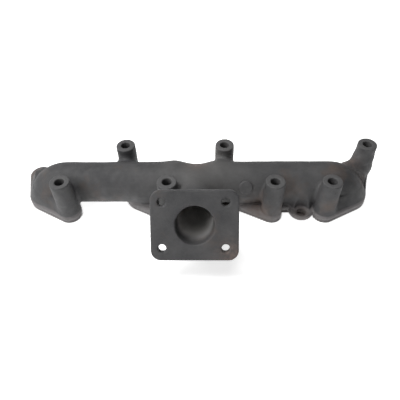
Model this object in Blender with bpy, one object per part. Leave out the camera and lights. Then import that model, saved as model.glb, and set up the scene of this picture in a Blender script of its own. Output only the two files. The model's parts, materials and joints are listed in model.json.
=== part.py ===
"""Four-cylinder log-type exhaust manifold in grey cast iron, resting on its port faces.

The casting is modelled region by region, each region a closed solid of its own: four port
flanges, four runners that stand on them, the log spans between the runners, the centre
junction, the rising outlet neck in two halves, the outlet flange, seven tall bolt bosses
and a bracket lug with its shelf. A round core plug sits in the front of the log.

Frame: metres, +Z up. X runs along the log, the outlet faces -Y, and Z = 0 is the gasket
plane. The origin is under the centre of the object's box.
"""
import math

import bmesh
import bpy
from mathutils import Matrix, Vector

# ---- driving dimensions (metres, degrees) ----
GAP = 0.0003                # clearance between neighbouring solids
SIDES = 32                  # sides of a round shape

PORT_PITCH = 0.105
PORT_BORE_R = 0.0140
FLANGE_THICK = 0.0075
FLANGE_CORE_R = 0.0235      # round middle of a port flange
LOBE_R = 0.0110             # bolt lobe at each end of a port flange

BOLT_ROW_Y = 0.0276         # bolt rows lie this far behind and in front of the ports
UPPER_BOLT_X = 0.0224       # rear bolt, along X from its port
LOWER_BOLT_X = 0.0251       # front bolt, along X from its port
BOLT_HOLE_R = 0.0047        # clearance for M8
BOSS_TOP_Z = 0.0483
BOSS_FOOT_R = 0.0110
BOSS_TOP_R = 0.0099

LOG_R = 0.0211
LOG_BORE_R = 0.0157
LOG_Z = 0.0222
LOG_FORWARD = 0.0012        # the log's axis lies this far in front of the ports
RUNNER_HALF = 0.0214        # half the length of log that belongs to a port
RUNNER_WALL_R = 0.0182      # round wall under the log, around a middle port
RUNNER_WALL_TOP_Z = 0.0190  # inside the log, where the wall and the port bore end
ELBOW_BORE_R = 0.0150       # bore of the bend over the first and last ports
ELBOW_OVERLAP = 0.0030      # the log's bore runs this far into the bends

OUTLET_TILT = 38.0          # the outlet face's normal rises this much above -Y
OUTLET_FORWARD = 0.0830     # outlet face centre, in front of the log's axis
OUTLET_Z = 0.0506
OUTLET_BORE_R = 0.0173
OUTLET_WIDTH = 0.0776
OUTLET_HEIGHT = 0.0618
OUTLET_SHIFT = 0.0007       # the plate lies this far to +X of its holes
OUTLET_CORNER_R = 0.0085
OUTLET_THICK = 0.0080
OUTLET_HOLE_R = 0.0036      # M8 tapping size
OUTLET_HOLE_PITCH_X = 0.0560
OUTLET_HOLE_PITCH_Y = 0.0411

NECK_R = 0.0210
NECK_BORE_R = 0.0165
NECK_START = 0.0280         # the neck starts this far in front of the log's axis
NECK_MIDDLE = 0.0520        # its two halves meet this far in front
NECK_BOSS_SPLIT = 0.0200    # neck and nearest boss meet on this plane, along X

LUG_X = 0.1083
LUG_FORWARD = 0.0250
LUG_R = 0.0127
LUG_HOLE_FORWARD = 0.0298
LUG_HOLE_R = 0.0048
LUG_BOTTOM_Z = 0.0015
LUG_TOP_Z = 0.0075
LUG_SEAT_R = 0.0075
LUG_WEB_HALF = 0.0115
LUG_WEB_TOP_Z = 0.0300
SHELF_FRONT = 0.0245        # the shelf beside the lug, in front of the log's axis
SHELF_BACK = 0.0165

PLUG_X = 0.0505
PLUG_ANGLE = 62.0           # from straight up towards the front
PLUG_R = 0.0070
PLUG_DEPTH = 0.0022         # set into the log wall
PLUG_PROUD = 0.0014

# ---- places worked out from them ----
OUTLET_RAD = math.radians(OUTLET_TILT)
BACK_Y = BOLT_ROW_Y + LOBE_R
FRONT_Y = -LOG_FORWARD - OUTLET_FORWARD - OUTLET_HEIGHT / 2 * math.sin(OUTLET_RAD)
ROW_Y = -(BACK_Y + FRONT_Y) / 2     # the port row, so that the box is centred on Y = 0
LOG_Y = ROW_Y - LOG_FORWARD

PORT_X = [PORT_PITCH * (i - 1.5) for i in range(4)]
UPPER_X = [x - UPPER_BOLT_X for x in PORT_X[:3]] + [PORT_X[3] + UPPER_BOLT_X]
LOWER_X = [x + LOWER_BOLT_X for x in PORT_X[:3]] + [PORT_X[3] - LOWER_BOLT_X]

OUTLET_CENTRE = Vector((0, LOG_Y - OUTLET_FORWARD, OUTLET_Z))
OUTLET_NORMAL = Vector((0, -math.cos(OUTLET_RAD), math.sin(OUTLET_RAD)))
OUTLET_UP = Vector((0, math.sin(OUTLET_RAD), math.cos(OUTLET_RAD)))

FAR = 0.5                   # longer than the object, for cutters that pass right through
QUARTER_HANDLE = 0.5523     # a cubic's handle, over the radius, for a quarter circle

CAST_IRON = (0.085, 0.085, 0.088)
MACHINED_IRON = (0.13, 0.13, 0.135)
PLUG_STEEL = (0.16, 0.155, 0.15)


# ---- scene ----
def clear_scene():
    for obj in list(bpy.data.objects):
        bpy.data.objects.remove(obj, do_unlink=True)
    for collection in list(bpy.data.collections):
        bpy.data.collections.remove(collection)


def make_collection(name):
    collection = bpy.data.collections.new(name)
    bpy.context.scene.collection.children.link(collection)
    return collection


clear_scene()
PARTS = make_collection("exhaust_manifold")
CUTTERS = make_collection("cutters")


def make_material(name, colour, roughness, metallic):
    material = bpy.data.materials.new(name)
    material.use_nodes = True
    shader = material.node_tree.nodes["Principled BSDF"]
    shader.inputs["Base Color"].default_value = (*colour, 1)
    shader.inputs["Roughness"].default_value = roughness
    shader.inputs["Metallic"].default_value = metallic
    material.diffuse_color = (*colour, 1)
    return material


# ---- shapes: each returns a hidden tool object, which keep() can turn into a part ----
def tool(name, bm):
    bmesh.ops.recalc_face_normals(bm, faces=bm.faces)
    mesh = bpy.data.meshes.new(name)
    bm.to_mesh(mesh)
    bm.free()
    obj = bpy.data.objects.new(name, mesh)
    CUTTERS.objects.link(obj)
    obj.hide_render = True
    obj.display_type = "WIRE"
    return obj


def add_cone(bm, r_low, r_high, length, matrix):
    """A cone or cylinder whose axis starts at the matrix's origin and runs along its Z."""
    bmesh.ops.create_cone(bm, cap_ends=True, segments=SIDES, radius1=r_low, radius2=r_high,
                          depth=length, matrix=matrix @ Matrix.Translation((0, 0, length / 2)))


def upright(name, x, y, z_low, z_high, r_low, r_high=None):
    """A vertical cone or cylinder with its flats, not its edges, facing along X and Y."""
    bm = bmesh.new()
    place = Matrix.Translation((x, y, z_low)) @ Matrix.Rotation(math.pi / SIDES, 4, "Z")
    add_cone(bm, r_low, r_high or r_low, z_high - z_low, place)
    return tool(name, bm)


def along(name, start, direction, length, radius):
    bm = bmesh.new()
    turn = Vector((0, 0, 1)).rotation_difference(direction).to_matrix().to_4x4()
    add_cone(bm, radius, radius, length, Matrix.Translation(start) @ turn)
    return tool(name, bm)


def ball(name, centre, radius):
    bm = bmesh.new()
    bmesh.ops.create_uvsphere(bm, u_segments=SIDES, v_segments=SIDES // 2, radius=radius,
                              matrix=Matrix.Translation(centre))
    return tool(name, bm)


def block(name, low, high):
    bm = bmesh.new()
    bmesh.ops.create_cube(bm, size=1)
    bmesh.ops.scale(bm, vec=Vector(high) - Vector(low), verts=bm.verts)
    bmesh.ops.translate(bm, vec=(Vector(high) + Vector(low)) / 2, verts=bm.verts)
    return tool(name, bm)


def wrapped(name, bm):
    """The tight skin around everything in bm."""
    hull = bmesh.ops.convex_hull(bm, input=bm.verts)
    loose = [item for item in hull["geom_interior"] + hull["geom_unused"]
             if isinstance(item, bmesh.types.BMVert)]
    bmesh.ops.delete(bm, geom=list(set(loose)), context="VERTS")
    bmesh.ops.dissolve_limit(bm, angle_limit=math.radians(0.5), verts=bm.verts, edges=bm.edges)
    return tool(name, bm)


def tube(name, points, radius):
    """A round sweep along a cubic through start, two handles and end."""
    curve = bpy.data.curves.new(name, "CURVE")
    curve.dimensions = "3D"
    curve.bevel_depth = radius
    curve.bevel_resolution = 8
    curve.resolution_u = 10
    curve.use_fill_caps = True
    spline = curve.splines.new("BEZIER")
    spline.bezier_points.add(1)
    start, end = spline.bezier_points
    start.co, start.handle_right, end.handle_left, end.co = points
    start.handle_left = 2 * Vector(points[0]) - Vector(points[1])
    end.handle_right = 2 * Vector(points[3]) - Vector(points[2])
    swept = bpy.data.objects.new(name, curve)
    CUTTERS.objects.link(swept)
    bpy.context.view_layer.update()
    evaluated = swept.evaluated_get(bpy.context.evaluated_depsgraph_get())
    mesh = bpy.data.meshes.new_from_object(evaluated)
    bm = bmesh.new()
    bm.from_mesh(mesh)
    bmesh.ops.remove_doubles(bm, verts=bm.verts, dist=0.00001)
    bpy.data.meshes.remove(mesh)
    bpy.data.objects.remove(swept, do_unlink=True)
    return tool(name, bm)


def combine(obj, operation, other):
    modifier = obj.modifiers.new(f"{operation.lower()} {other.name}", "BOOLEAN")
    modifier.operation = operation
    modifier.object = other
    return obj


def cut(obj, *cutters):
    for cutter in cutters:
        combine(obj, "DIFFERENCE", cutter)
    return obj


def join(obj, *others):
    for other in others:
        combine(obj, "UNION", other)
    return obj


def keep(obj, material):
    """Move a tool into the parts, under its own name."""
    CUTTERS.objects.unlink(obj)
    PARTS.objects.link(obj)
    obj.hide_render = False
    obj.display_type = "TEXTURED"
    obj.data.materials.append(material)
    obj.data.shade_smooth()
    obj.data.set_sharp_from_angle(angle=math.radians(30))
    return obj


def cast(name):
    return make_material(name, CAST_IRON, 0.72, 0.35)


# ---- port flanges ----
def flange_blank(name, port, grow, z_low, z_high):
    """Round middle and two bolt lobes, wrapped in one outline."""
    bm = bmesh.new()
    circles = ((PORT_X[port], ROW_Y, FLANGE_CORE_R),
               (UPPER_X[port], ROW_Y + BOLT_ROW_Y, LOBE_R),
               (LOWER_X[port], ROW_Y - BOLT_ROW_Y, LOBE_R))
    for x, y, radius in circles:
        add_cone(bm, radius + grow, radius + grow, z_high - z_low, Matrix.Translation((x, y, z_low)))
    return wrapped(name, bm)


def bolt_hole(name, x, y):
    return upright(name, x, y, -FAR, FAR, BOLT_HOLE_R)


def build_port_flange(port):
    number = port + 1
    flange = flange_blank(f"port_flange_{number}", port, 0, 0, FLANGE_THICK)
    cut(flange,
        upright(f"port_bore_{number}", PORT_X[port], ROW_Y, -FAR, FAR, PORT_BORE_R),
        bolt_hole(f"upper_hole_{number}", UPPER_X[port], ROW_Y + BOLT_ROW_Y),
        bolt_hole(f"lower_hole_{number}", LOWER_X[port], ROW_Y - BOLT_ROW_Y))
    return keep(flange, make_material(f"port_flange_{number}", MACHINED_IRON, 0.6, 0.4))


# ---- log: runners over the ports, spans between them, centre junction ----
X_AXIS = Vector((1, 0, 0))
LOG_BORE_END = PORT_X[3] - RUNNER_HALF + ELBOW_OVERLAP
LOG_BORE = along("log_bore", (-LOG_BORE_END, LOG_Y, LOG_Z), X_AXIS, 2 * LOG_BORE_END, LOG_BORE_R)
UNDER_RUNNER = block("under_runner", (-FAR, -FAR, -FAR), (FAR, FAR, FLANGE_THICK + GAP))
FLANGE_CUTTERS = [flange_blank(f"flange_cutter_{i + 1}", i, GAP, -FAR, FLANGE_THICK + GAP)
                  for i in range(4)]


def log_piece(name, x_low, x_high):
    return along(name, (x_low, LOG_Y, LOG_Z), X_AXIS, x_high - x_low, LOG_R)


def elbow(name, port, inset, radius):
    """A quarter bend from the log's axis down to the port. It starts a little past the runner's end."""
    side = -1 if port == 0 else 1
    centre = PORT_X[port] - side * RUNNER_HALF
    start = Vector((centre + side * inset, LOG_Y, LOG_Z))
    end = Vector((PORT_X[port], ROW_Y, LOG_Z - RUNNER_HALF))
    handle = QUARTER_HANDLE * RUNNER_HALF
    return tube(name, [start, start + side * handle * X_AXIS, end + Vector((0, 0, handle)), end], radius)


def build_runner(port):
    """The length of log over one port: a bend at each end of the log, a straight one between."""
    number = port + 1
    x = PORT_X[port]
    if port in (0, 3):
        runner = elbow(f"port_runner_{number}", port, 0, LOG_R)
        cut(runner, UNDER_RUNNER, LOG_BORE, elbow(f"elbow_bore_{number}", port, GAP, ELBOW_BORE_R))
    else:
        runner = log_piece(f"port_runner_{number}", x - RUNNER_HALF, x + RUNNER_HALF)
        join(runner, upright(f"runner_wall_{number}", x, ROW_Y, 0, RUNNER_WALL_TOP_Z, RUNNER_WALL_R))
        cut(runner, UNDER_RUNNER, LOG_BORE)
    cut(runner, upright(f"runner_bore_{number}", x, ROW_Y, -FAR, RUNNER_WALL_TOP_Z, PORT_BORE_R))
    return keep(runner, cast(f"port_runner_{number}"))


def build_span(left_port):
    """The plain tube between two runners."""
    right_port = left_port + 1
    name = f"log_span_{left_port + 1}_{right_port + 1}"
    span = log_piece(name, PORT_X[left_port] + RUNNER_HALF + GAP, PORT_X[right_port] - RUNNER_HALF - GAP)
    cut(span, LOG_BORE, FLANGE_CUTTERS[left_port], FLANGE_CUTTERS[right_port])
    return keep(span, cast(name))


# ---- outlet: neck path, junction, neck and flange ----
NECK_PATH = [Vector((0, LOG_Y, LOG_Z)),
             Vector((0, LOG_Y - OUTLET_FORWARD * 0.42, LOG_Z)),
             OUTLET_CENTRE - OUTLET_NORMAL * 0.030,
             OUTLET_CENTRE]
NECK_BORE = tube("neck_bore", NECK_PATH, NECK_BORE_R)


def side_blocks(name):
    """Everything outside the two planes where the neck gives way to the bolt bosses."""
    y_low = ROW_Y - BOLT_ROW_Y - 2 * BOSS_FOOT_R
    y_high = LOG_Y + LOG_R
    limit = NECK_BOSS_SPLIT - GAP / 2
    return (block(f"{name}_left", (-FAR, y_low, -FAR), (-limit, y_high, FAR)),
            block(f"{name}_right", (limit, y_low, -FAR), (FAR, y_high, FAR)))


def build_junction():
    x_limit = PORT_X[2] - RUNNER_HALF - GAP
    junction = log_piece("centre_junction", -x_limit, x_limit)
    root = along("neck_root", (0, LOG_Y, LOG_Z), Vector((0, -1, 0)), NECK_START, NECK_R)
    cut(root, *side_blocks("root_side"))
    join(junction, root)
    cut(junction, LOG_BORE, NECK_BORE, FLANGE_CUTTERS[1], FLANGE_CUTTERS[2])
    return keep(junction, cast("centre_junction"))


def behind_outlet(name, depth):
    """The half-space from the given depth behind the outlet face forwards."""
    bm = bmesh.new()
    bmesh.ops.create_cube(bm, size=FAR)
    bmesh.ops.translate(bm, vec=(0, -FAR / 2, 0), verts=bm.verts)
    place = Matrix.Translation(OUTLET_CENTRE - OUTLET_NORMAL * depth)
    bmesh.ops.transform(bm, matrix=place @ Matrix.Rotation(-OUTLET_RAD, 4, "X"), verts=bm.verts)
    return tool(name, bm)


def build_neck(name, y_front, y_back):
    """The part of the neck between two planes across Y."""
    neck = tube(name, NECK_PATH, NECK_R)
    cut(neck, NECK_BORE,
        block(f"{name}_back", (-FAR, y_back, -FAR), (FAR, FAR, FAR)),
        block(f"{name}_front", (-FAR, -FAR, -FAR), (FAR, y_front, FAR)),
        behind_outlet(f"{name}_end", OUTLET_THICK + GAP),
        *side_blocks(f"{name}_side"))
    return keep(neck, cast(name))


def build_outlet_flange():
    turn = Matrix.Rotation(math.pi / 2 - OUTLET_RAD, 4, "X")
    place = Matrix.Translation(OUTLET_CENTRE - OUTLET_NORMAL * OUTLET_THICK) @ turn
    bm = bmesh.new()
    for side_x in (-1, 1):
        for side_y in (-1, 1):
            corner = (OUTLET_SHIFT + side_x * (OUTLET_WIDTH / 2 - OUTLET_CORNER_R),
                      side_y * (OUTLET_HEIGHT / 2 - OUTLET_CORNER_R), 0)
            add_cone(bm, OUTLET_CORNER_R, OUTLET_CORNER_R, OUTLET_THICK,
                     place @ Matrix.Translation(corner))
    flange = wrapped("outlet_flange", bm)
    reach = 3 * OUTLET_THICK
    start = OUTLET_CENTRE - OUTLET_NORMAL * reach / 2
    cut(flange, along("outlet_bore", start, OUTLET_NORMAL, reach, OUTLET_BORE_R))
    for side_x in (-1, 1):
        for side_y in (-1, 1):
            shift = Vector((side_x * OUTLET_HOLE_PITCH_X / 2, 0, 0))
            shift += OUTLET_UP * side_y * OUTLET_HOLE_PITCH_Y / 2
            cut(flange, along(f"outlet_hole_{side_x}_{side_y}", start + shift, OUTLET_NORMAL, reach,
                              OUTLET_HOLE_R))
    return keep(flange, make_material("outlet_flange", MACHINED_IRON, 0.6, 0.4))


# ---- bolt bosses ----
LOG_CUTTER = along("log_cutter", (-FAR / 2, LOG_Y, LOG_Z), X_AXIS, FAR, LOG_R + GAP)
BOSS_SIDE = block("boss_side", (-NECK_BOSS_SPLIT - GAP / 2, -FAR, -FAR), (0, LOG_Y, FAR))


def build_boss(port, row):
    """A tall boss on a bolt lobe, scooped where the log passes it."""
    number = port + 1
    x = UPPER_X[port] if row == "upper" else LOWER_X[port]
    y = ROW_Y + (BOLT_ROW_Y if row == "upper" else -BOLT_ROW_Y)
    name = f"bolt_boss_{number}_{row}"
    boss = upright(name, x, y, FLANGE_THICK + GAP, BOSS_TOP_Z, BOSS_FOOT_R, BOSS_TOP_R)
    cut(boss, LOG_CUTTER, bolt_hole(f"boss_hole_{number}_{row}", x, y))
    if (port, row) == (1, "lower"):
        cut(boss, BOSS_SIDE)
    return keep(boss, cast(name))


# ---- bracket lug and core plug ----
def build_lug():
    """A round lug low in front of the log, on a web that slopes down from it.

    A low shelf beside it reaches the flanges of the last two ports.
    """
    y = LOG_Y - LUG_FORWARD
    hole_y = LOG_Y - LUG_HOLE_FORWARD
    bm = bmesh.new()
    add_cone(bm, LUG_R, LUG_R, LUG_TOP_Z - LUG_BOTTOM_Z, Matrix.Translation((LUG_X, y, LUG_BOTTOM_Z)))
    for z in (LOG_Z / 2, LUG_WEB_TOP_Z):
        for x in (LUG_X - LUG_WEB_HALF, LUG_X + LUG_WEB_HALF):
            bm.verts.new((x, LOG_Y - LOG_BORE_R, z))
    lug = wrapped("bracket_lug", bm)
    join(lug, block("lug_shelf", (PORT_X[2], LOG_Y - SHELF_FRONT, LUG_BOTTOM_Z),
                    (PORT_X[3], LOG_Y - SHELF_BACK, LUG_TOP_Z)))
    cut(lug, LOG_CUTTER, FLANGE_CUTTERS[2], FLANGE_CUTTERS[3],
        upright("lug_hole", LUG_X, hole_y, -FAR, FAR, LUG_HOLE_R),
        upright("lug_seat", LUG_X, hole_y, LUG_TOP_Z, FAR, LUG_SEAT_R))
    return keep(lug, cast("bracket_lug"))


def build_plug(runner):
    angle = math.radians(PLUG_ANGLE)
    outward = Vector((0, -math.sin(angle), math.cos(angle)))
    axis_point = Vector((PLUG_X, LOG_Y, LOG_Z))
    bottom = LOG_R - PLUG_DEPTH
    plug = along("core_plug", axis_point + outward * bottom, outward, PLUG_DEPTH + PLUG_PROUD, PLUG_R)
    socket_bottom = axis_point + outward * (bottom - GAP)
    cut(runner, along("plug_socket", socket_bottom, outward, 0.02, PLUG_R + GAP))
    return keep(plug, make_material("core_plug", PLUG_STEEL, 0.55, 0.6))


def main():
    for port in range(4):
        build_port_flange(port)
    runners = [build_runner(port) for port in range(4)]
    build_span(0)
    build_span(2)
    build_junction()
    build_neck("outlet_neck_lower", LOG_Y - NECK_MIDDLE + GAP / 2, LOG_Y - NECK_START - GAP)
    build_neck("outlet_neck_upper", -FAR, LOG_Y - NECK_MIDDLE - GAP / 2)
    build_outlet_flange()
    for port in range(4):
        build_boss(port, "lower")
    for port in range(1, 4):
        build_boss(port, "upper")
    build_lug()
    build_plug(runners[2])
    bpy.context.view_layer.update()


main()
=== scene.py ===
"""Looks of a cast-iron log exhaust manifold: one seamless casting, its core plug, studio and camera.

The casting is one piece of iron with soft fillets, so it is modelled as a distance field on a
grid. Tubes, flanges and bosses are blended in with round fillets, passages and bolt holes are
cut out with small edge breaks, and the zero surface becomes the mesh. Main places come from the
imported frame, with small shifts set here, and everything is in metres.
"""
import json
import math

import bmesh
import bpy
import numpy as np
from mathutils import Matrix, Vector


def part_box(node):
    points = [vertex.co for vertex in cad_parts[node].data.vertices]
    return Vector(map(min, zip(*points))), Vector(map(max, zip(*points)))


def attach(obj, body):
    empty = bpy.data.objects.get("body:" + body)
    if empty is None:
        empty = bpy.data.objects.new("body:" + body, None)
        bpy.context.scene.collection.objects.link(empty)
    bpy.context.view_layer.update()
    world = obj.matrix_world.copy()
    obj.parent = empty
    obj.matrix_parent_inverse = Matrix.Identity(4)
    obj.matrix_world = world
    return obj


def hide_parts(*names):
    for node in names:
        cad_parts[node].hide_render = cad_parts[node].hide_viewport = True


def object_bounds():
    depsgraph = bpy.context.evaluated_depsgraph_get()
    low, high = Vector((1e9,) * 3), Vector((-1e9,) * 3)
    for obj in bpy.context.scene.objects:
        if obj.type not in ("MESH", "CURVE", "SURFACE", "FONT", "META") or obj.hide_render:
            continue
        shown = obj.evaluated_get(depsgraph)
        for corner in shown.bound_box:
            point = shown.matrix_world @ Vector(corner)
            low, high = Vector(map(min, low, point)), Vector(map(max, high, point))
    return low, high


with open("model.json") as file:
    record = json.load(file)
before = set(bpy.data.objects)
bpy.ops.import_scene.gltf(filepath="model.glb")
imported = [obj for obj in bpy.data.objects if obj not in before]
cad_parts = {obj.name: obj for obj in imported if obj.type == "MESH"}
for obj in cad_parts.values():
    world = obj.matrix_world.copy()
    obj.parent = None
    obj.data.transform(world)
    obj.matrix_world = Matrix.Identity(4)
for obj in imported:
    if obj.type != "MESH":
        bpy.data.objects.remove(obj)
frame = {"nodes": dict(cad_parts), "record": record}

CAD_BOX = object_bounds()

# ---- grid ----
CELL = 0.0009               # spacing of the distance samples
PAD = 0.004                 # empty margin round the grid
REACH = 0.014               # a shape is blended in this far round its own box
FAR = 0.05                  # distance written where there is no metal yet
RELAX_STEPS = 3
FLATTEST = 0.25             # smallest squared slope that a point is moved along

# ---- sizes that the solids leave out: fillets, edge breaks, casting unevenness ----
FLANGE_EDGE = 0.0024
FACE_EDGE = 0.0005          # where a machined face meets the cast skin
HOLE_EDGE = 0.0005
SEAM = 0.001                # where a shape is only joined to itself
FLANGE_FILLET = 0.0022
RUNNER_FILLET = 0.0045
SKIRT_FILLET = 0.0040
CURTAIN_FILLET = 0.0040
BOSS_FILLET = {"lower": 0.0045, "upper": 0.0080}
HUMP_FILLET = 0.0045
WEB_FILLET = 0.0070
NECK_FILLET = 0.0110
PLATE_EDGE = 0.0008
PLATE_FILLET = 0.0040
PASSAGE_FILLET = 0.0050
UNEVENNESS = 0.00005
WAVES = 7
WAVE_LENGTH = (0.012, 0.040)

WAIST_X = 0.0010            # the log narrows between the two middle ports
WAIST_HALF = 0.0130
WAIST_DEPTH = 0.0021
WAIST_FORWARD = 0.0003
SWELL_X = 0.0225            # and swells a little on each side of that
SWELL_HALF = 0.0095
SWELL_HEIGHT = 0.0015

SEED = 11


# ---- the frame's places ----
RECORD = frame["record"]
OPENINGS = {item["name"]: np.array(item["box_m"]) for item in RECORD["physics"]["openings"]}
MOUNTS = {item["name"]: item for item in RECORD["mounts"]}


def middle(name):
    """Centre of a stated opening."""
    return OPENINGS[name].mean(axis=0)


def size(node):
    low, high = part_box(node)
    return high - low


def centre(node):
    low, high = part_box(node)
    return (high + low) / 2


def joint_box(*nodes):
    """One box round several nodes."""
    lows, highs = zip(*(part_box(node) for node in nodes))
    return np.min(lows, axis=0), np.max(highs, axis=0)


PORTS = [middle(f"port_{i}") for i in (1, 2, 3, 4)]
ROW_Y = PORTS[0][1]
FLANGE_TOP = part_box("port_flange_1")[1].z
LOG_Y, LOG_Z = centre("log_span_1_2").yz
LOG_R = size("log_span_1_2").z / 2
LOG_BORE_R = 0.0157
PORT_BORE_R = 0.0140
BEND_R = 0.0214             # radius on which the log turns down to the first and last ports
BEND_X = PORTS[3][0] - BEND_R
BEND_Z = LOG_Z - BEND_R
RUNNER_WALL_R = 0.0203      # the walls under the log at the two middle ports
FLANGE_CORE_R = 0.0235
LOBE_R = 0.0110
BARE_LOBE_R = 0.0120        # the one lobe that carries no boss is broader
BARE_LOBE_SHIFT = (0.0018, 0.0004, 0)
BOLT_HOLE_R = 0.0047

OUTLET_NORMAL = np.array(MOUNTS["outlet_face"]["axis"])
OUTLET_UP = np.array((0, OUTLET_NORMAL[2], -OUTLET_NORMAL[1]))
OUTLET_CENTRE = np.array(MOUNTS["outlet_face"]["pos_m"]) * (0, 1, 1)
OUTLET_SHIFT = centre("outlet_flange").x    # the plate is a little off its own bore
OUTLET_LEAN = np.array((0.0009, 0, 0))      # the cored bore leans this far to one side
OUTLET_WIDTH = size("outlet_flange").x
OUTLET_THICK = 0.0080
OUTLET_HEIGHT = (size("outlet_flange").z - OUTLET_THICK * OUTLET_NORMAL[2]) / OUTLET_UP[2]
OUTLET_CORNER_R = 0.0090
OUTLET_DROP = 0.0007        # the cast plate reaches this much lower than its solid
OUTLET_BORE_R = 0.0173
OUTLET_HOLE_R = 0.0037
OUTLET_HOLE_PITCH = (0.0560, 0.0411)
NECK_R = size("outlet_neck_upper").x / 2
NECK_BORE_R = 0.0165
NECK_BORE_ROOT = 0.0060     # the neck's bore starts this far in front of the log's axis
NECK_REACH = LOG_Y - OUTLET_CENTRE[1]
NECK_ROOT = 0.0120          # the neck's skin starts this far in front of the log's axis
NECK_LEVEL = 0.42           # share of its reach over which the neck sets off level
NECK_SQUARE = 0.030         # distance behind its mouth from which the neck comes in square
NECK_NODES = ("centre_junction", "outlet_neck_lower", "outlet_neck_upper", "outlet_flange")

BOSSES = [name for name in frame["nodes"] if name.startswith("bolt_boss")]
BOSS_FOOT_R = 0.0104
BOSS_TOP_R = 0.0099
SEAT_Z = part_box("bolt_boss_1_lower")[1].z


# ---- distances: negative inside, for arrays of points ----
def length(*parts):
    return np.sqrt(sum(part * part for part in parts))


def blend(a, b, radius):
    """Both shapes, with a round fillet where they meet."""
    corner = length(np.maximum(radius - a, 0), np.maximum(radius - b, 0))
    return np.maximum(radius, np.minimum(a, b)) - corner


def overlap(a, b, radius):
    """What both shapes hold, with a round edge where they meet."""
    corner = length(np.maximum(radius + a, 0), np.maximum(radius + b, 0))
    return np.minimum(-radius, np.maximum(a, b)) + corner


def upright(point, at, radius):
    return length(point[0] - at[0], point[1] - at[1]) - radius


def rod(point, start, end, r_start, r_end):
    """A round bar between two points, with round ends and an even taper."""
    run = np.subtract(end, start)
    offset = [point[i] - start[i] for i in range(3)]
    share = np.clip(sum(offset[i] * run[i] for i in range(3)) / run.dot(run), 0, 1)
    radius = r_start + share * (r_end - r_start)
    return length(*(offset[i] - share * run[i] for i in range(3))) - radius


def sweep(point, path, radii):
    """A round tube along a path of points."""
    return np.minimum.reduce([rod(point, path[i], path[i + 1], radii[i], radii[i + 1])
                              for i in range(len(path) - 1)])


def rounded_rectangle(u, v, width, height, corner):
    du = np.abs(u) - (width / 2 - corner)
    dv = np.abs(v) - (height / 2 - corner)
    return length(np.maximum(du, 0), np.maximum(dv, 0)) + np.minimum(np.maximum(du, dv), 0) - corner


def strap(point, a, b, r_a, r_b):
    """The outline, seen from above, of a belt round two circles."""
    run = np.subtract(b[:2], a[:2])
    reach = math.hypot(*run)
    along_axis = ((point[0] - a[0]) * run[0] + (point[1] - a[1]) * run[1]) / reach
    across = np.abs((point[0] - a[0]) * run[1] - (point[1] - a[1]) * run[0]) / reach
    slope = (r_a - r_b) / reach
    rise = math.sqrt(1 - slope * slope)
    turn = along_axis * rise - across * slope
    side = across * rise + along_axis * slope - r_a
    near = length(across, along_axis) - r_a
    far = length(across, along_axis - reach) - r_b
    return np.where(turn < 0, near, np.where(turn > rise * reach, far, side))


# ---- the grid ----
class Field:
    """Distance samples in a box. Shapes are blended in or cut out one after another."""

    def __init__(self, low, high):
        self.axes = [np.arange(a - PAD, b + PAD, CELL, dtype=np.float32) for a, b in zip(low, high)]
        self.value = np.full([len(axis) for axis in self.axes], FAR, np.float32)

    def window(self, low, high):
        """The samples in and round a box, and their coordinates."""
        spans = [slice(*np.searchsorted(axis, (a - REACH, b + REACH)))
                 for axis, a, b in zip(self.axes, low, high)]
        x, y, z = (axis[span] for axis, span in zip(self.axes, spans))
        return tuple(spans), (x[:, None, None], y[None, :, None], z[None, None, :])

    def add(self, box, shape, fillet):
        spans, point = self.window(*box)
        self.value[spans] = blend(self.value[spans], shape(point), fillet)

    def cut(self, box, shape, edge):
        spans, point = self.window(*box)
        self.value[spans] = overlap(self.value[spans], -shape(point), edge)


def whole_field():
    return Field(*CAD_BOX)


# ---- outside shapes ----
def log_axis(x):
    """How far the log moves forward, and its radius, at each place along it."""
    waist = np.exp(-((x - WAIST_X) / WAIST_HALF) ** 2)
    swell = np.exp(-((np.abs(x) - SWELL_X) / SWELL_HALF) ** 2)
    return WAIST_FORWARD * waist, LOG_R - WAIST_DEPTH * waist + SWELL_HEIGHT * swell


def off_axis(point):
    """Distances behind and above the log's axis, and how far it has turned down: 0 level, 1 upright."""
    past, low = np.abs(point[0]) - BEND_X, point[2] - BEND_Z
    bend = np.where(low > 0, length(past, low), past) - BEND_R
    turned = 1 - np.arctan2(np.maximum(low, 0), np.maximum(past, 0)) * 2 / math.pi
    behind = point[1] - LOG_Y - turned * (ROW_Y - LOG_Y)
    return behind, np.where(past > 0, bend, point[2] - LOG_Z), turned


def log(point):
    forward, radius = log_axis(point[0])
    behind, above, _ = off_axis(point)
    return length(behind + forward, above) - radius


def runner_wall(point, port):
    return overlap(upright(point, port, RUNNER_WALL_R), np.maximum(point[2] - LOG_Z, -point[2]), SEAM)


def flange(point, number):
    """A round middle with a bolt lobe on each side, its top edge well rounded."""
    port = PORTS[number - 1]
    upper = (middle("bolt_way_1_upper") + BARE_LOBE_SHIFT, BARE_LOBE_R) if number == 1 else (
        middle(f"bolt_way_{number}_upper"), LOBE_R)
    outline = np.minimum(strap(point, port, upper[0], FLANGE_CORE_R, upper[1]),
                         strap(point, port, middle(f"bolt_way_{number}_lower"), FLANGE_CORE_R, LOBE_R))
    topped = overlap(outline, point[2] - FLANGE_TOP, FLANGE_EDGE)
    return overlap(topped, -point[2], FACE_EDGE)


SKIRT_INSET = 0.0010        # how far in from the flange's edge the skirt ends
SKIRT_SLOPE = 0.60
BARE_SEAT_R = 0.0105        # clear round the bolt hole that has no boss


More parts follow.
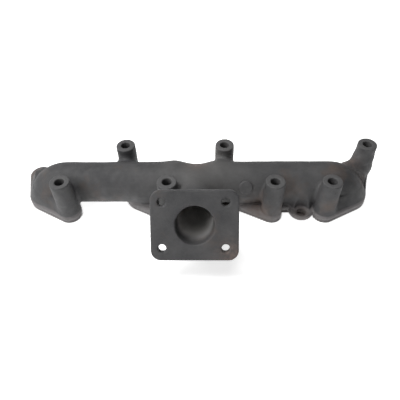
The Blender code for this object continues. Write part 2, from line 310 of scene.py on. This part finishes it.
def skirt(point, number):
    """Metal that slopes from the end bends out to the edge of the flange."""
    port = PORTS[number - 1]
    radii = (FLANGE_CORE_R - SKIRT_INSET, LOBE_R - SKIRT_INSET)
    outline = strap(point, port, middle(f"bolt_way_{number}_lower"), *radii)
    if number == 1:
        bare_lobe = middle("bolt_way_1_upper") + BARE_LOBE_SHIFT
        outline = np.minimum(outline, strap(point, port, bare_lobe, *radii))
    slope = (outline + SKIRT_SLOPE * (point[2] - FLANGE_TOP)) / math.hypot(1, SKIRT_SLOPE)
    if number == 1:
        slope = overlap(slope, -upright(point, middle("bolt_way_1_upper"), BARE_SEAT_R), SKIRT_INSET)
    return np.maximum(slope, np.maximum(point[2] - LOG_Z, FLANGE_TOP - SEAM - point[2]))


def bolt_way(name):
    """The middle of the bolt hole through a boss."""
    return middle(name.replace("bolt_boss", "bolt_way"))


def above_seat(point, name):
    return np.maximum(upright(point, bolt_way(name), LOBE_R), SEAT_Z - point[2])


def boss(point, name):
    """A tapering round boss with a flat top."""
    low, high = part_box(name)
    at = bolt_way(name)
    share = (point[2] - low.z) / (high.z - low.z)
    side = upright(point, at, BOSS_FOOT_R + share * (BOSS_TOP_R - BOSS_FOOT_R))
    return np.maximum(side, np.maximum(point[2] - high.z - SEAM, FLANGE_TOP - SEAM - point[2]))


def plate_axes(point):
    """Distances across, up and out of the outlet face."""
    dy, dz = point[1] - OUTLET_CENTRE[1], point[2] - OUTLET_CENTRE[2]
    return (point[0], dy * OUTLET_UP[1] + dz * OUTLET_UP[2],
            dy * OUTLET_NORMAL[1] + dz * OUTLET_NORMAL[2])


def plate(point):
    across, up, out = plate_axes(point)
    outline = rounded_rectangle(across - OUTLET_SHIFT, up + OUTLET_DROP / 2, OUTLET_WIDTH,
                                OUTLET_HEIGHT + OUTLET_DROP, OUTLET_CORNER_R)
    return overlap(outline, np.maximum(out, -OUTLET_THICK - out), PLATE_EDGE)


def neck_path(steps=14):
    """A cubic from the log's axis to the outlet's centre."""
    handles = (np.array((0, LOG_Y, LOG_Z)),
               np.array((0, LOG_Y - NECK_LEVEL * NECK_REACH, LOG_Z)),
               OUTLET_CENTRE + OUTLET_LEAN - NECK_SQUARE * OUTLET_NORMAL,
               OUTLET_CENTRE + OUTLET_LEAN)
    weights = [((1 - t) ** 3, 3 * t * (1 - t) ** 2, 3 * t * t * (1 - t), t ** 3)
               for t in np.linspace(0, 1, steps)]
    return [sum(w * h for w, h in zip(row, handles)) for row in weights]


def neck(point):
    path = [place for place in neck_path()[:-1] if place[1] < LOG_Y - NECK_ROOT]
    tube = sweep(point, path, [NECK_R] * len(path))
    return np.maximum(tube, plate_axes(point)[2] + OUTLET_THICK / 2)


LUG_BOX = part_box("bracket_lug")
LUG_LOW_Z = LUG_BOX[0].z
LUG_R = 0.0125
LUG_BACK = 0.0010           # the cast lug's front lies this far behind the front of its solid
LUG_HOLE = middle("lug_hole")
LUG_AT = (LUG_HOLE[0] + 0.0006, LUG_BOX[0].y + LUG_BACK + LUG_R)
LUG_EDGE = 0.0014
LUG_SEAT_R = 0.0078
HUMP_R = 0.0112
HUMP_TOP = (LUG_AT[0], LOG_Y - 0.0100, 0.0245)
HUMP_FOOT = (LUG_AT[0], LUG_AT[1] + 0.0010, -0.0030)
SHELF_FRONT = 0.0235
SHELF_BACK = 0.0150


def lug_disc(point):
    slab = np.maximum(point[2] - FLANGE_TOP, LUG_LOW_Z - point[2])
    return overlap(upright(point, LUG_AT, LUG_R), slab, LUG_EDGE)


def lug_hump(point):
    """The half-round web that runs from the log's front down to the lug, with the seat sunk into it."""
    seat = np.maximum(upright(point, LUG_HOLE, LUG_SEAT_R), FLANGE_TOP - point[2])
    hump = np.maximum(rod(point, HUMP_TOP, HUMP_FOOT, HUMP_R, HUMP_R), LUG_LOW_Z - point[2])
    return overlap(hump, -seat, SEAM)


def shelf(point):
    """The low web that joins the last two flanges and the lug."""
    low = (PORTS[2][0], LOG_Y - SHELF_FRONT, LUG_LOW_Z)
    high = (PORTS[3][0], LOG_Y - SHELF_BACK, FLANGE_TOP)
    sides = [np.maximum(point[i] - high[i], low[i] - point[i]) for i in range(3)]
    return overlap(np.maximum(sides[0], sides[1]), sides[2], LUG_EDGE)


CURTAIN_FRONT = 0.0188
CURTAIN_TOP = 0.0125


def curtain(point):
    """The wall that hangs from the log's front between the last two flanges and stands on the shelf."""
    low = (PORTS[2][0], LOG_Y - CURTAIN_FRONT, LUG_LOW_Z)
    high = (PORTS[3][0], LOG_Y, CURTAIN_TOP)
    return np.maximum(np.maximum(*(np.maximum(point[i] - high[i], low[i] - point[i]) for i in (0, 1))),
                      np.maximum(point[2] - high[2], low[2] - point[2]))


WEB_R = (0.0165, 0.0095)    # at the bend, and at the boss
WEB_Z = 0.0190
HIGH_WEB_R = (0.0078, 0.0068)
HIGH_WEB_START = (PORTS[3][0] - 0.0040, LOG_Y + 0.0080, LOG_Z + 0.0040)
HIGH_WEB_END = (middle("bolt_way_4_upper")[0] - 0.0010, middle("bolt_way_4_upper")[1] - 0.0030, 0.0310)


def end_web(point):
    """The thick web between the last bend and the tall boss behind it."""
    at = middle("bolt_way_4_upper")
    low = rod(point, (PORTS[3][0], ROW_Y, WEB_Z), (at[0], at[1], WEB_Z), *WEB_R)
    high = rod(point, HIGH_WEB_START, HIGH_WEB_END, *HIGH_WEB_R)
    return np.maximum(np.minimum(low, high), -point[2])


# ---- building the casting ----
def unevenness(point):
    """Slow ripples of a sand mould: a few seeded sine waves."""
    chance = np.random.default_rng(SEED)
    total = 0
    for _ in range(WAVES):
        direction = chance.normal(size=3)
        direction *= 2 * math.pi / (chance.uniform(*WAVE_LENGTH) * math.hypot(*direction))
        phase = sum(point[i] * np.float32(direction[i]) for i in range(3)) + chance.uniform(0, 2 * math.pi)
        total = total + np.sin(phase)
    return total * np.float32(UNEVENNESS)


def add_outside(metal):
    metal.add(CAD_BOX, log, SEAM)
    metal.add(joint_box(*NECK_NODES), neck, NECK_FILLET)
    metal.add(LUG_BOX, lug_hump, HUMP_FILLET)
    metal.add(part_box("bolt_boss_4_upper"), end_web, WEB_FILLET)
    metal.add(LUG_BOX, curtain, CURTAIN_FILLET)
    for number in (2, 3):
        metal.add(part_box(f"port_flange_{number}"),
                  lambda point: runner_wall(point, PORTS[number - 1]), RUNNER_FILLET)
    for number in (1, 4):
        metal.add(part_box(f"port_flange_{number}"), lambda point: skirt(point, number), SKIRT_FILLET)
    for name in BOSSES:
        metal.add(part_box(name), lambda point: boss(point, name), BOSS_FILLET[name[-5:]])
    metal.add(LUG_BOX, shelf, FLANGE_FILLET)
    metal.add(LUG_BOX, lug_disc, SEAM)
    for number in (1, 2, 3, 4):
        metal.add(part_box(f"port_flange_{number}"), lambda point: flange(point, number), FLANGE_FILLET)
    metal.value += unevenness(metal.window(*CAD_BOX)[1])
    metal.add(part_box("outlet_flange"), plate, PLATE_FILLET)
    metal.cut(CAD_BOX, lambda point: point[2], FACE_EDGE)
    for name in BOSSES:
        metal.cut(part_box(name), lambda point: above_seat(point, name), FACE_EDGE)


def gas_passage():
    """The inside of the casting: the log with its two bends, the middle ports and the neck."""
    passage = whole_field()
    passage.add(CAD_BOX, log_bore, SEAM)
    for number, port in enumerate(PORTS, 1):
        start, end = (*port[:2], -FAR), (*port[:2], LOG_Z if number in (2, 3) else BEND_Z)
        passage.add(OPENINGS[f"port_{number}"],
                    lambda point: rod(point, start, end, PORT_BORE_R, PORT_BORE_R), PASSAGE_FILLET)
    path = [place for place in neck_path() if place[1] < LOG_Y - NECK_BORE_ROOT]
    path.append(OUTLET_CENTRE + OUTLET_LEAN + 2 * REACH * OUTLET_NORMAL)
    radii = [NECK_BORE_R] * (len(path) - 3) + [OUTLET_BORE_R] * 3
    passage.add(joint_box(*NECK_NODES), lambda point: sweep(point, path, radii), PASSAGE_FILLET)
    return passage


def log_bore(point):
    """The bore narrows round each bend to the size of the port."""
    behind, above, turned = off_axis(point)
    return length(behind, above) - (LOG_BORE_R + turned * (PORT_BORE_R - LOG_BORE_R))


def outlet_hole(point, side_x, side_y):
    """A hole through the outlet plate that ends a little behind it."""
    across, up, out = plate_axes(point)
    at = (side_x * OUTLET_HOLE_PITCH[0], side_y * OUTLET_HOLE_PITCH[1])
    side = upright((across, up), at, OUTLET_HOLE_R)
    return np.maximum(side, -2 * OUTLET_THICK - out)


def drill(metal):
    """The bolt holes."""
    for name, box in OPENINGS.items():
        if name.startswith("bolt_way") or name == "lug_hole":
            metal.cut(box, lambda point: upright(point, middle(name), BOLT_HOLE_R), HOLE_EDGE)
    for side_x in (-0.5, 0.5):
        for side_y in (-0.5, 0.5):
            metal.cut(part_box("outlet_flange"), lambda point: outlet_hole(point, side_x, side_y), HOLE_EDGE)


# ---- from samples to a mesh ----
CORNERS = [(i, j, k) for i in (0, 1) for j in (0, 1) for k in (0, 1)]
EDGES = [(a, b) for a in CORNERS for b in CORNERS
         if sum(b) - sum(a) == 1 and all(q >= p for p, q in zip(a, b))]


def zero_surface(field):
    """Surface nets: one point in each cell that the skin crosses, and a quad round each crossed edge."""
    value = field.value
    inside = value < 0
    shape = [n - 1 for n in value.shape]
    count = np.zeros(shape, np.uint8)
    for i, j, k in CORNERS:
        count += inside[i:i + shape[0], j:j + shape[1], k:k + shape[2]]
    mixed = (count > 0) & (count < 8)
    cells = np.argwhere(mixed)
    number = np.full(shape, -1, np.int64)
    number[mixed] = np.arange(len(cells))

    total = np.zeros((len(cells), 3))
    crossings = np.zeros(len(cells))
    for start, end in EDGES:
        a = value[tuple((cells + start).T)]
        b = value[tuple((cells + end).T)]
        crossed = (a < 0) != (b < 0)
        share = np.where(crossed, a / np.where(crossed, a - b, 1), 0)
        total += crossed[:, None] * (np.array(start) + share[:, None] * np.subtract(end, start))
        crossings += crossed
    origin = np.array([axis[0] for axis in field.axes])
    points = origin + CELL * (cells + total / crossings[:, None])

    quads = []
    for axis in range(3):
        u, v = (axis + 1) % 3, (axis + 2) % 3
        low = [slice(1, n - 1) for n in value.shape]
        high = list(low)
        low[axis], high[axis] = slice(0, -1), slice(1, None)
        starts = inside[tuple(low)]
        edges = np.argwhere(starts != inside[tuple(high)])
        leaving = starts[tuple(edges.T)]
        edges[:, u] += 1
        edges[:, v] += 1
        ring = []
        for step_u, step_v in ((-1, -1), (0, -1), (0, 0), (-1, 0)):
            cell = edges.copy()
            cell[:, u] += step_u
            cell[:, v] += step_v
            ring.append(number[tuple(cell.T)])
        ring = np.stack(ring, axis=1)
        quads += [ring[leaving], ring[~leaving][:, ::-1]]
    return points, np.concatenate(quads)


def sample(field, points):
    """Distance and direction away from the metal at free points, read between the samples."""
    origin = np.array([axis[0] for axis in field.axes])
    place = (points - origin) / CELL
    base = np.clip(np.floor(place).astype(int), 0, np.array(field.value.shape) - 2)
    f = place - base
    corner = {c: field.value[tuple((base + c).T)] for c in CORNERS}
    value, slope = 0, [0, 0, 0]
    for c, v in corner.items():
        parts = [f[:, i] if c[i] else 1 - f[:, i] for i in range(3)]
        value = value + v * parts[0] * parts[1] * parts[2]
        for i in range(3):
            sign = 1 if c[i] else -1
            others = [parts[n] for n in range(3) if n != i]
            slope[i] = slope[i] + sign * v * others[0] * others[1] / CELL
    return value, np.stack(slope, axis=1)


def relax(field, points, quads):
    """Even out the points along the skin, then put them back on it."""
    start = np.concatenate([quads[:, i] for i in range(4)])
    end = np.concatenate([quads[:, (i + 1) % 4] for i in range(4)])
    links = np.bincount(start, minlength=len(points))
    for _ in range(RELAX_STEPS):
        mean = np.stack([np.bincount(start, points[end, i], len(points)) for i in range(3)], axis=1)
        points = 0.5 * points + 0.5 * mean / links[:, None]
        value, slope = sample(field, points)
        steepness = np.maximum((slope ** 2).sum(axis=1), FLATTEST)
        points = points - np.clip(value / steepness, -CELL, CELL)[:, None] * slope
    return points


def mesh_object(name, points, faces):
    mesh = bpy.data.meshes.new(name)
    mesh.from_pydata(points.tolist(), [], faces.tolist())
    mesh.update()
    mesh.shade_smooth()
    obj = bpy.data.objects.new(name, mesh)
    bpy.context.scene.collection.objects.link(obj)
    return obj


def add_attribute(obj, name, values):
    layer = obj.data.attributes.new(name, "FLOAT", "POINT")
    layer.data.foreach_set("value", values.astype(np.float32))


def soft_step(value, start, end):
    share = np.clip((value - start) / (end - start), 0, 1)
    return share * share * (3 - 2 * share)


MACHINED_FADE = (0.0003, 0.0009)


def machined_share(points):
    """1 on faces and bores that were machined, 0 on the cast skin."""
    point = points.T
    boss_top = np.minimum.reduce([upright(point, bolt_way(name), BOSS_TOP_R) for name in BOSSES])
    seat = np.maximum(np.abs(point[2] - SEAT_Z) * 2, boss_top)
    port_face = np.abs(point[2]) * 2
    ways = [np.abs(upright(point, middle(name), BOLT_HOLE_R)) for name in OPENINGS
            if name.startswith("bolt_way") or name == "lug_hole"]
    nearest = np.minimum.reduce([seat, port_face] + ways)
    return 1 - soft_step(nearest, *MACHINED_FADE)


SHADE_SLOPE = 1.095         # fall of the shade line that starts at the outlet flange's top edge
SHADE_HEIGHT = (0.030, 0.037)
SHADE_START_X = (0.020, 0.024)
SHADE_END_X = (0.041, 0.047)
# Painted shade: dark spots right of the first and last lower bosses and past the last bend, where shadow
# falls.
PAINTED_RECESS_SPOTS = [(middle("bolt_way_1_lower") * (1, 1, 0) + (0.0165, 0.0060, 0.0220), 0.0130),
         (middle("bolt_way_4_lower") * (1, 1, 0) + (0.0150, 0.0060, 0.0220), 0.0100),
         ((PORTS[3][0] + 0.0230, ROW_Y + 0.0030, 0.0120), 0.0095)]
# Painted highlight: a paler colour on the upper side round the middle.
GLARE_X = 0.010
GLARE_HALF = 0.045
GLARE_RISE = 0.0120
GLARE_Y = (-0.0100, 0.0100)
RUST = [((*middle("bolt_way_1_upper")[:2], FLANGE_TOP), 0.0100),
        ((WAIST_X, LOG_Y + 0.0060, LOG_Z + LOG_R), 0.0100),
        ((PORTS[3][0] + 0.0020, ROW_Y + 0.0150, 0.0300), 0.0110),
        ((PORTS[3][0] + 0.0175, ROW_Y - 0.0020, 0.0220), 0.0065),
        ((0.0930, 0.0000, 0.0140), 0.0060),
        (tuple(LUG_HOLE), 0.0070),
        ((0.0330, -0.0660, 0.0290), 0.0120),
        ((PORTS[2][0] + 0.0120, ROW_Y - 0.0260, FLANGE_TOP), 0.0140)]
UNGROUND_X = (0.039, 0.046)     # nearer the middle than this the skin stays dark
FETTLED_FADE = 0.0020
MOUTH_FADE = (0.008, 0.030)     # depths behind the outlet face between which the scale begins
SCALE_IN_LOG = 0.3


def fettled_share(points):
    """1 low down, for paler flanges and lug. It goes by height, so the log's underside has it too."""
    low = 1 - soft_step(points[:, 2], FLANGE_TOP, FLANGE_TOP + FETTLED_FADE)
    return low * soft_step(np.abs(points[:, 0]), *UNGROUND_X)


def inside_share(passage, points):
    """Pale scale in the gas passages, thickest in the neck but not at its mouth."""
    skin = 1 - soft_step(np.abs(sample(passage, points)[0]), CELL, 3 * CELL)
    in_neck = soft_step(LOG_Y - points[:, 1], NECK_ROOT, 2 * NECK_ROOT)
    depth = soft_step(-plate_axes(points.T)[2], *MOUTH_FADE)
    return skin * (SCALE_IN_LOG + (1 - SCALE_IN_LOG) * in_neck) * depth


def painted_glare_share(points):
    """1 on the upper side round the middle, painted paler as a highlight where the light falls."""
    x, y, z = points.T
    middle_share = np.exp(-((x - GLARE_X) / GLARE_HALF) ** 2)
    return middle_share * soft_step(z, LOG_Z, LOG_Z + GLARE_RISE) * soft_step(y, *GLARE_Y)


def painted_plate_shade_share(points):
    """1 low down behind the outlet flange, where the skin is painted near-black as shade from the plate."""
    x, y, z = points.T
    beside_neck = soft_step(np.abs(x), *SHADE_START_X) * (1 - soft_step(np.abs(x), *SHADE_END_X))
    behind = soft_step(-plate_axes(points.T)[2], OUTLET_THICK, OUTLET_THICK + CELL)
    return beside_neck * behind * (1 - soft_step(z + SHADE_SLOPE * y, *SHADE_HEIGHT))


def spot_share(points, spots):
    """1 at a few places, fading out round each."""
    total = 0
    for at, radius in spots:
        total = total + np.exp(-((points - at) ** 2).sum(axis=1) / radius ** 2)
    return np.minimum(total, 1)


def build_casting():
    metal = whole_field()
    add_outside(metal)
    passage = gas_passage()
    metal.value = overlap(metal.value, -passage.value, HOLE_EDGE)
    drill(metal)
    points, quads = zero_surface(metal)
    points = relax(metal, points, quads)
    casting = mesh_object("manifold_casting", points, quads)
    add_attribute(casting, "machined", machined_share(points))
    add_attribute(casting, "fettled", fettled_share(points))
    add_attribute(casting, "inside", inside_share(passage, points))
    add_attribute(casting, "painted_glare", painted_glare_share(points))
    add_attribute(casting, "painted_plate_shade", painted_plate_shade_share(points))
    add_attribute(casting, "rust", spot_share(points, RUST))
    add_attribute(casting, "painted_recess_shade", spot_share(points, PAINTED_RECESS_SPOTS))
    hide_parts(*[name for name in frame["nodes"] if name != "core_plug"])
    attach(casting, "root")
    return casting


# ---- materials ----
class Shader:
    """A small helper that writes a node tree from top to bottom."""

    def __init__(self, name, roughness, metallic):
        self.material = bpy.data.materials.new(name)
        self.material.use_nodes = True
        self.tree = self.material.node_tree
        self.surface = self.tree.nodes["Principled BSDF"]
        self.surface.inputs["Metallic"].default_value = metallic
        self.surface.inputs["Roughness"].default_value = roughness
        self.place = self.tree.nodes.new("ShaderNodeTexCoord").outputs["Object"]

    def node(self, kind, **values):
        node = self.tree.nodes.new(kind)
        for key, value in values.items():
            setattr(node, key, value)
        return node

    def link(self, source, target):
        self.tree.links.new(source, target)

    def noise(self, scale, detail=3, rough=0.55):
        node = self.node("ShaderNodeTexNoise")
        node.inputs["Scale"].default_value = scale
        node.inputs["Detail"].default_value = detail
        node.inputs["Roughness"].default_value = rough
        self.link(self.place, node.inputs["Vector"])
        return node.outputs["Fac"]

    def range(self, source, low, high, to_low=0.0, to_high=1.0):
        node = self.node("ShaderNodeMapRange")
        node.inputs["From Min"].default_value = low
        node.inputs["From Max"].default_value = high
        node.inputs["To Min"].default_value = to_low
        node.inputs["To Max"].default_value = to_high
        self.link(source, node.inputs["Value"])
        return node.outputs["Result"]

    def maths(self, operation, a, b):
        node = self.node("ShaderNodeMath", operation=operation)
        for socket, value in zip(node.inputs, (a, b)):
            if isinstance(value, (int, float)):
                socket.default_value = value
            else:
                self.link(value, socket)
        return node.outputs[0]

    def mix(self, share, a, b):
        node = self.node("ShaderNodeMix", data_type="RGBA")
        self.link(share, node.inputs["Factor"])
        for key, value in (("A", a), ("B", b)):
            socket = [s for s in node.inputs if s.name == key and s.type == "RGBA"][0]
            if isinstance(value, tuple):
                socket.default_value = (*value, 1)
            else:
                self.link(value, socket)
        return [s for s in node.outputs if s.type == "RGBA"][0]

    def attribute(self, name):
        return self.node("ShaderNodeAttribute", attribute_name=name).outputs["Fac"]

    def bump(self, height, distance, strength=1.0, normal=None):
        node = self.node("ShaderNodeBump")
        node.inputs["Distance"].default_value = distance
        node.inputs["Strength"].default_value = strength
        self.link(height, node.inputs["Height"])
        if normal:
            self.link(normal, node.inputs["Normal"])
        return node.outputs["Normal"]


IRON_DARK = (0.037, 0.037, 0.039)
IRON_LIGHT = (0.063, 0.062, 0.063)
IRON_BROWN = (0.095, 0.062, 0.045)
IRON_FACE = (0.085, 0.084, 0.085)
IRON_GROUND = (0.150, 0.141, 0.141)
IRON_SCALE = (0.520, 0.510, 0.500)
IRON_GLARE = (0.090, 0.088, 0.086)
IRON_RUST = (0.122, 0.094, 0.082)
# Near-black for painted shade behind the outlet flange and in the recesses.
IRON_PAINTED_SHADE = (0.018, 0.018, 0.018)


def cast_iron():
    shader = Shader("cast_iron", 0.7, 0.0)
    patches = shader.range(shader.noise(38, 4, 0.6), 0.36, 0.66)
    colour = shader.mix(patches, IRON_DARK, IRON_LIGHT)
    grain = shader.noise(1500, 2, 0.6)
    colour = shader.mix(shader.range(grain, 0.58, 0.75, 0, 0.45), colour, IRON_FACE)
    stain = shader.maths("MULTIPLY", shader.range(shader.noise(24, 4, 0.65), 0.56, 0.72), 0.45)
    colour = shader.mix(stain, colour, IRON_BROWN)
    # Painted highlight on the upper side round the middle.
    colour = shader.mix(shader.maths("MULTIPLY", shader.attribute("painted_glare"), 0.75), colour, IRON_GLARE)
    machined = shader.attribute("machined")
    colour = shader.mix(shader.maths("MULTIPLY", shader.attribute("fettled"), 0.7), colour, IRON_GROUND)
    colour = shader.mix(shader.maths("MULTIPLY", machined, 0.6), colour, IRON_FACE)
    film_noise = shader.range(shader.noise(260, 4, 0.7), 0.40, 0.60, 0.35, 1.0)
    film = shader.maths("MULTIPLY", shader.attribute("rust"), film_noise)
    colour = shader.mix(film, colour, IRON_RUST)
    # Painted shade: near-black low down behind the outlet flange.
    colour = shader.mix(shader.attribute("painted_plate_shade"), colour, IRON_PAINTED_SHADE)
    # Painted shade in the recesses right of the lower bosses and at the right end.
    colour = shader.mix(shader.maths("MULTIPLY", shader.attribute("painted_recess_shade"), 0.8), colour, IRON_PAINTED_SHADE)
    colour = shader.mix(shader.attribute("inside"), colour, IRON_SCALE)
    shader.link(colour, shader.surface.inputs["Base Color"])
    skin_rough = shader.range(shader.noise(160, 3), 0.3, 0.7, 0.62, 0.80)
    shader.link(skin_rough, shader.surface.inputs["Roughness"])
    normal = shader.bump(grain, 0.00022, 0.7)
    normal = shader.bump(shader.noise(420, 3, 0.6), 0.00030, 0.6, normal)
    shader.link(normal, shader.surface.inputs["Normal"])
    return shader.material


def plug_metal():
    shader = Shader("plug_iron", 0.6, 0.1)
    colour = shader.mix(shader.range(shader.noise(300, 3), 0.40, 0.9), IRON_LIGHT, IRON_FACE)
    shader.link(colour, shader.surface.inputs["Base Color"])
    shader.link(shader.bump(shader.noise(1300, 2), 0.0002, 0.6), shader.surface.inputs["Normal"])
    return shader.material


# ---- core plug ----
PLUG_R = size("core_plug").x / 2
PLUG_SIDES = 64
PLUG_SUNK = 0.003
PLUG_PROUD = 0.0014
PLUG_DOME = 0.0003


def build_plug():
    """A turned disc with a rounded rim and a slightly domed face."""
    low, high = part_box("core_plug")
    at = (low + high) / 2
    outward = (at - Vector((at.x, LOG_Y, LOG_Z))).normalized()
    profile = [(PLUG_R, -PLUG_SUNK), (PLUG_R, 0.0006),
               (PLUG_R - 0.0002, 0.0010), (PLUG_R - 0.0007, PLUG_PROUD)]
    profile += [(PLUG_R * share, PLUG_PROUD + PLUG_DOME * (1 - share)) for share in (0.8, 0.6, 0.4, 0.2)]
    bm = bmesh.new()
    rings = []
    for radius, height in profile:
        ring = []
        for i in range(PLUG_SIDES):
            angle = 2 * math.pi * i / PLUG_SIDES
            ring.append(bm.verts.new((radius * math.cos(angle), radius * math.sin(angle), height)))
        rings.append(ring)
    for lower, upper in zip(rings, rings[1:]):
        for i in range(PLUG_SIDES):
            j = (i + 1) % PLUG_SIDES
            bm.faces.new((lower[i], lower[j], upper[j], upper[i]))
    bm.faces.new(rings[-1])
    bm.faces.new(reversed(rings[0]))
    mesh = bpy.data.meshes.new("manifold_core_plug")
    bm.to_mesh(mesh)
    bm.free()
    mesh.shade_smooth()
    plug = bpy.data.objects.new("manifold_core_plug", mesh)
    bpy.context.scene.collection.objects.link(plug)
    surface_point = Vector((at.x, LOG_Y, LOG_Z)) + outward * LOG_R
    turn = Vector((0, 0, 1)).rotation_difference(outward).to_matrix().to_4x4()
    plug.matrix_world = Matrix.Translation(surface_point) @ turn
    plug.data.materials.append(plug_metal())
    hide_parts("core_plug")
    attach(plug, "root")


# ---- studio ----
FLOOR_HALF = 3.0
FLOOR_CELL = 0.0015
FLOOR_DROP = 0.0002         # just clear of the gasket faces
UNDER_NECK = (0.070, 0.016, 0.004)      # width, depth and corner of the shadow between the middle flanges
UNDER_NECK_FORWARD = 0.0090
LUG_CLEAR = 0.0030          # the shade starts this far in from the raised lug's edge
PAPER = (0.92, 0.92, 0.92)
# Painted shade: the paper's colour under the casting's foot.
PAPER_SHADE = (0.12, 0.10, 0.095)
FLOOR_GLOW = (0.30, 0.88)   # far from the casting, and close to it, where the extra glow is painted light that washes out the casting's shadow
# Painted light: the floor's glow rises within this distance of the casting's foot.
PAINTED_LIGHT_REACH = 0.110
DARK_SIDE = (0.70, -0.40, 0.60)
DARK_FADE = (0.35, 0.95, 0.34, 0.08)    # the room's brightness falls from 0.34 to 0.08 between these cosines
LAMP_SIZE = 0.6
LAMPS = {"left": ((-0.60, 0.10, 1.10), 10.2),           # place and watts
         "overhead": ((0.00, -0.15, 1.20), 2.6),
         "front_left": ((-0.75, -0.60, 0.70), 5.0)}


def grid_lines(low, high):
    """Fine spacing round the casting, with one far line on each side."""
    return np.concatenate(([-FLOOR_HALF], np.arange(low - REACH, high + REACH, FLOOR_CELL), [FLOOR_HALF]))


def build_floor():
    """White paper that glows like an overexposed backdrop. Under the casting's foot it is painted dark as
    shade and does not glow, and near the casting the glow rises as painted light over its shadow.
    """
    xs, ys = (grid_lines(CAD_BOX[0][i], CAD_BOX[1][i]) for i in (0, 1))
    x, y = (part.ravel() for part in np.meshgrid(xs, ys))
    at = np.arange(len(x)).reshape(len(ys), len(xs))
    quads = np.stack([at[:-1, :-1], at[:-1, 1:], at[1:, 1:], at[1:, :-1]], axis=-1).reshape(-1, 4)
    level = 0 * x + CAD_BOX[0][2] - FLOOR_DROP
    floor = mesh_object("studio_floor", np.stack([x, y, level], axis=1), quads)
    foot = np.minimum.reduce([flange((x, y, FLANGE_TOP / 2), number) for number in (1, 2, 3, 4)]
                             + [shape((x, y, FLANGE_TOP / 2)) for shape in (lug_hump, shelf)]
                             + [upright((x, y), LUG_AT, LUG_R - LUG_CLEAR)]
                             + [rounded_rectangle(x, y - LOG_Y + UNDER_NECK_FORWARD, *UNDER_NECK)])
    # Painted shade under the casting's foot, where the paper is dark and unlit; painted light in the
    # stronger glow near the casting.
    add_attribute(floor, "open", soft_step(foot, 0, FLOOR_CELL))
    add_attribute(floor, "near", 1 - soft_step(foot, 0, PAINTED_LIGHT_REACH))
    shader = Shader("studio_white", 0.9, 0.0)
    paper = shader.mix(shader.attribute("open"), PAPER_SHADE, PAPER)
    shader.link(paper, shader.surface.inputs["Base Color"])
    shader.surface.inputs["Emission Color"].default_value = (1, 1, 1, 1)
    glow = shader.range(shader.attribute("near"), 0, 1, *FLOOR_GLOW)
    shader.link(shader.maths("MULTIPLY", shader.attribute("open"), glow),
                shader.surface.inputs["Emission Strength"])
    floor.data.materials.append(shader.material)


def area_light(name, at, power):
    light = bpy.data.lights.new(name, "AREA")
    light.shape = "DISK"
    light.size = LAMP_SIZE
    light.energy = power
    lamp = bpy.data.objects.new(name, light)
    bpy.context.scene.collection.objects.link(lamp)
    lamp.location = at
    lamp.rotation_euler = (-Vector(at)).to_track_quat("-Z", "Y").to_euler()


def build_light():
    """A pale room, darker to the upper right and front, and three soft lamps, strongest from the left."""
    world = bpy.data.worlds.new("studio")
    world.use_nodes = True
    tree = world.node_tree
    place = tree.nodes.new("ShaderNodeTexCoord").outputs["Generated"]
    toward = tree.nodes.new("ShaderNodeVectorMath")
    toward.operation = "DOT_PRODUCT"
    toward.inputs[1].default_value = DARK_SIDE
    tree.links.new(place, toward.inputs[0])
    fade = tree.nodes.new("ShaderNodeMapRange")
    for name, value in zip(("From Min", "From Max", "To Min", "To Max"), DARK_FADE):
        fade.inputs[name].default_value = value
    tree.links.new(toward.outputs["Value"], fade.inputs["Value"])
    background = tree.nodes["Background"]
    background.inputs["Color"].default_value = (1, 1, 1, 1)
    tree.links.new(fade.outputs["Result"], background.inputs["Strength"])
    bpy.context.scene.world = world
    for name, (at, power) in LAMPS.items():
        area_light(name, at, power)
    bpy.context.scene.view_settings.view_transform = "Standard"


# ---- camera: distances in metres, angles in degrees ----
CAMERA_AT = (0.0128, LOG_Y - 0.3066, 0.3255)
CAMERA_DOWN = 47.26
CAMERA_YAW = -1.735
CAMERA_ROLL = -1.39
CAMERA_LENS = 36.72


def build_camera():
    down, yaw, roll = (math.radians(a) for a in (CAMERA_DOWN, CAMERA_YAW, CAMERA_ROLL))
    forward = Vector((math.sin(yaw) * math.cos(down), math.cos(yaw) * math.cos(down), -math.sin(down)))
    level = Vector((math.cos(yaw), -math.sin(yaw), 0))
    upward = level.cross(forward)
    right = level * math.cos(roll) + upward * math.sin(roll)
    up = upward * math.cos(roll) - level * math.sin(roll)
    data = bpy.data.cameras.new("camera")
    data.lens = CAMERA_LENS
    data.sensor_width = 36
    data.clip_start = 0.01
    camera = bpy.data.objects.new("camera", data)
    bpy.context.scene.collection.objects.link(camera)
    camera.matrix_world = Matrix.Translation(CAMERA_AT) @ Matrix((right, up, -forward)).transposed().to_4x4()
    bpy.context.scene.camera = camera


casting = build_casting()
casting.data.materials.append(cast_iron())
build_plug()
build_floor()
build_light()
build_camera()
